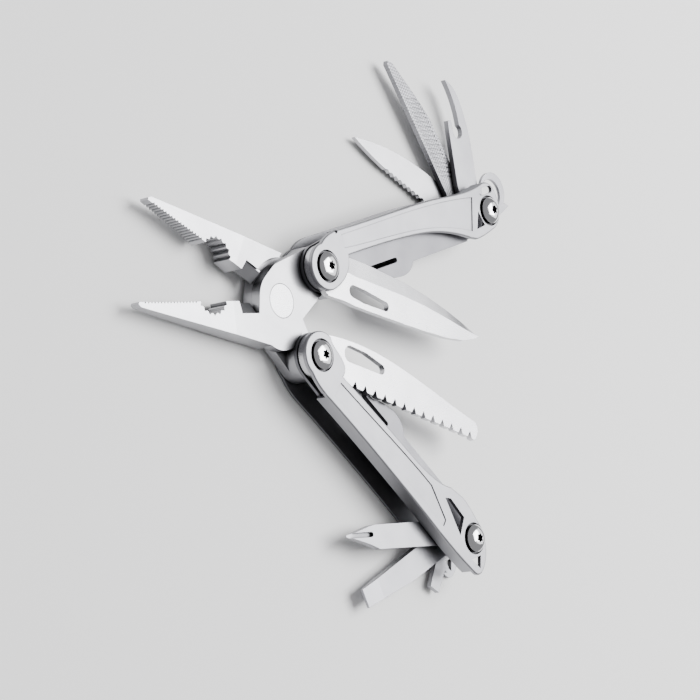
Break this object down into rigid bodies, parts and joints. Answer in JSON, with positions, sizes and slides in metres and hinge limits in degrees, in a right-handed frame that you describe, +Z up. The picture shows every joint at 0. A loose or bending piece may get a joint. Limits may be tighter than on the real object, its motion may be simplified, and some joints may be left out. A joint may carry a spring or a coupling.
{
  "type": "folding multi tool",
  "caption": "Folding pliers on channel handles, with knife and saw blades on the outside and small tools hinged inside.",
  "frame": {"origin": "middle of the overall box at the plane the tool lies on", "axes": "+Z up along the pivots, +X from the jaws to the handles, +Y across the open handles from the saw handle to the knife handle"},
  "size_m": [0.155, 0.1712, 0.0147],
  "materials": {
    "handle": "bead-blasted stainless steel sheet",
    "jaw": "satin ground stainless steel",
    "blade": "satin ground blade steel",
    "bright": "polished stainless steel",
    "liner": "brushed stainless spring steel",
    "washer": "phosphor bronze",
    "tool": "satin ground tool steel"
  },
  "bodies": {
    "near_jaw": {"near_jaw": "jaw"},
    "plier_pin": {"plier_pin": "jaw"},
    "far_jaw": {"far_jaw": "jaw"},
    "knife_handle_pivot": {"knife_handle_front_barrel": "bright", "knife_handle_front_screw": "bright"},
    "saw_handle_pivot": {"saw_handle_front_barrel": "bright", "saw_handle_front_screw": "bright"},
    "knife_handle": {"knife_handle_near_plate": "handle", "knife_handle_far_plate": "handle", "knife_handle_liner_lock": "liner", "knife_handle_spine": "liner", "knife_handle_rear_barrel": "bright", "knife_handle_rear_screw": "bright", "knife_handle_tool_washers": "washer", "knife_blade_washers": "washer"},
    "saw_handle": {"saw_handle_near_plate": "handle", "saw_handle_far_plate": "handle", "saw_handle_liner_lock": "liner", "saw_handle_spine": "liner", "saw_handle_rear_barrel": "bright", "saw_handle_rear_screw": "bright", "saw_handle_tool_washers": "washer", "saw_blade_washers": "washer"},
    "knife_blade": {"knife_blade": "blade"},
    "saw_blade": {"saw_blade": "blade"},
    "small_knife": {"small_knife": "blade"},
    "file": {"file": "tool"},
    "opener": {"opener": "tool"},
    "lanyard_ring": {"lanyard_ring": "tool"},
    "phillips_driver": {"phillips_driver": "tool"},
    "wide_driver": {"wide_driver": "tool"},
    "small_driver": {"small_driver": "tool"}
  },
  "joints": [
    {"name": "pin_in_near_jaw", "type": "hinge", "parent": "near_jaw", "child": "plier_pin", "pos_m": [-0.02473, -0.00625, 0.0046], "axis": [0, 0, -1], "range_deg": [-15.2, 5]},
    {"name": "far_jaw_on_pin", "type": "hinge", "parent": "plier_pin", "child": "far_jaw", "pos_m": [-0.02473, -0.00625, 0.0046], "axis": [0, 0, -1], "range_deg": [-15.2, 5]},
    {"name": "knife_handle_barrel_turn", "type": "hinge", "parent": "near_jaw", "child": "knife_handle_pivot", "pos_m": [-0.01145, 0.00703, 0.0046], "axis": [0, 0, -1], "range_deg": [-83.5, 0]},
    {"name": "knife_handle_fold", "type": "hinge", "parent": "knife_handle_pivot", "child": "knife_handle", "pos_m": [-0.01145, 0.00703, 0.0046], "axis": [0, 0, -1], "range_deg": [-83.5, 0]},
    {"name": "saw_handle_barrel_turn", "type": "hinge", "parent": "far_jaw", "child": "saw_handle_pivot", "pos_m": [-0.01145, -0.01952, 0.0046], "axis": [0, 0, 1], "range_deg": [-83.5, 0]},
    {"name": "saw_handle_fold", "type": "hinge", "parent": "saw_handle_pivot", "child": "saw_handle", "pos_m": [-0.01145, -0.01952, 0.0046], "axis": [0, 0, 1], "range_deg": [-83.5, 0]},
    {"name": "knife_swing", "type": "hinge", "parent": "knife_handle", "child": "knife_blade", "pos_m": [-0.01145, 0.00703, 0.00922], "axis": [0, 0, -1], "range_deg": [-26.7, 8]},
    {"name": "saw_swing", "type": "hinge", "parent": "saw_handle", "child": "saw_blade", "pos_m": [-0.01145, -0.01952, 0.00922], "axis": [0, 0, 1], "range_deg": [-26.7, 8]},
    {"name": "small_knife_swing", "type": "hinge", "parent": "knife_handle", "child": "small_knife", "pos_m": [0.0617, 0.04625, 0.00142], "axis": [0, 0, -1], "range_deg": [-41.5, 138.5]},
    {"name": "file_swing", "type": "hinge", "parent": "knife_handle", "child": "file", "pos_m": [0.0617, 0.04625, 0.00304], "axis": [0, 0, -1], "range_deg": [-74, 106]},
    {"name": "opener_swing", "type": "hinge", "parent": "knife_handle", "child": "opener", "pos_m": [0.0617, 0.04625, 0.00486], "axis": [0, 0, -1], "range_deg": [-99.5, 80.5]},
    {"name": "lanyard_ring_swing", "type": "hinge", "parent": "knife_handle", "child": "lanyard_ring", "pos_m": [0.0617, 0.04625, 0.00678], "axis": [0, 0, 1], "range_deg": [-25, 150]},
    {"name": "phillips_driver_swing", "type": "hinge", "parent": "saw_handle", "child": "phillips_driver", "pos_m": [0.0617, -0.05874, 0.00536], "axis": [0, 0, 1], "range_deg": [-41.5, 138.5]},
    {"name": "wide_driver_swing", "type": "hinge", "parent": "saw_handle", "child": "wide_driver", "pos_m": [0.0617, -0.05874, 0.00314], "axis": [0, 0, 1], "range_deg": [-64, 116]},
    {"name": "small_driver_swing", "type": "hinge", "parent": "saw_handle", "child": "small_driver", "pos_m": [0.0617, -0.05874, 0.00142], "axis": [0, 0, 1], "range_deg": [-100, 80]}
  ]
}
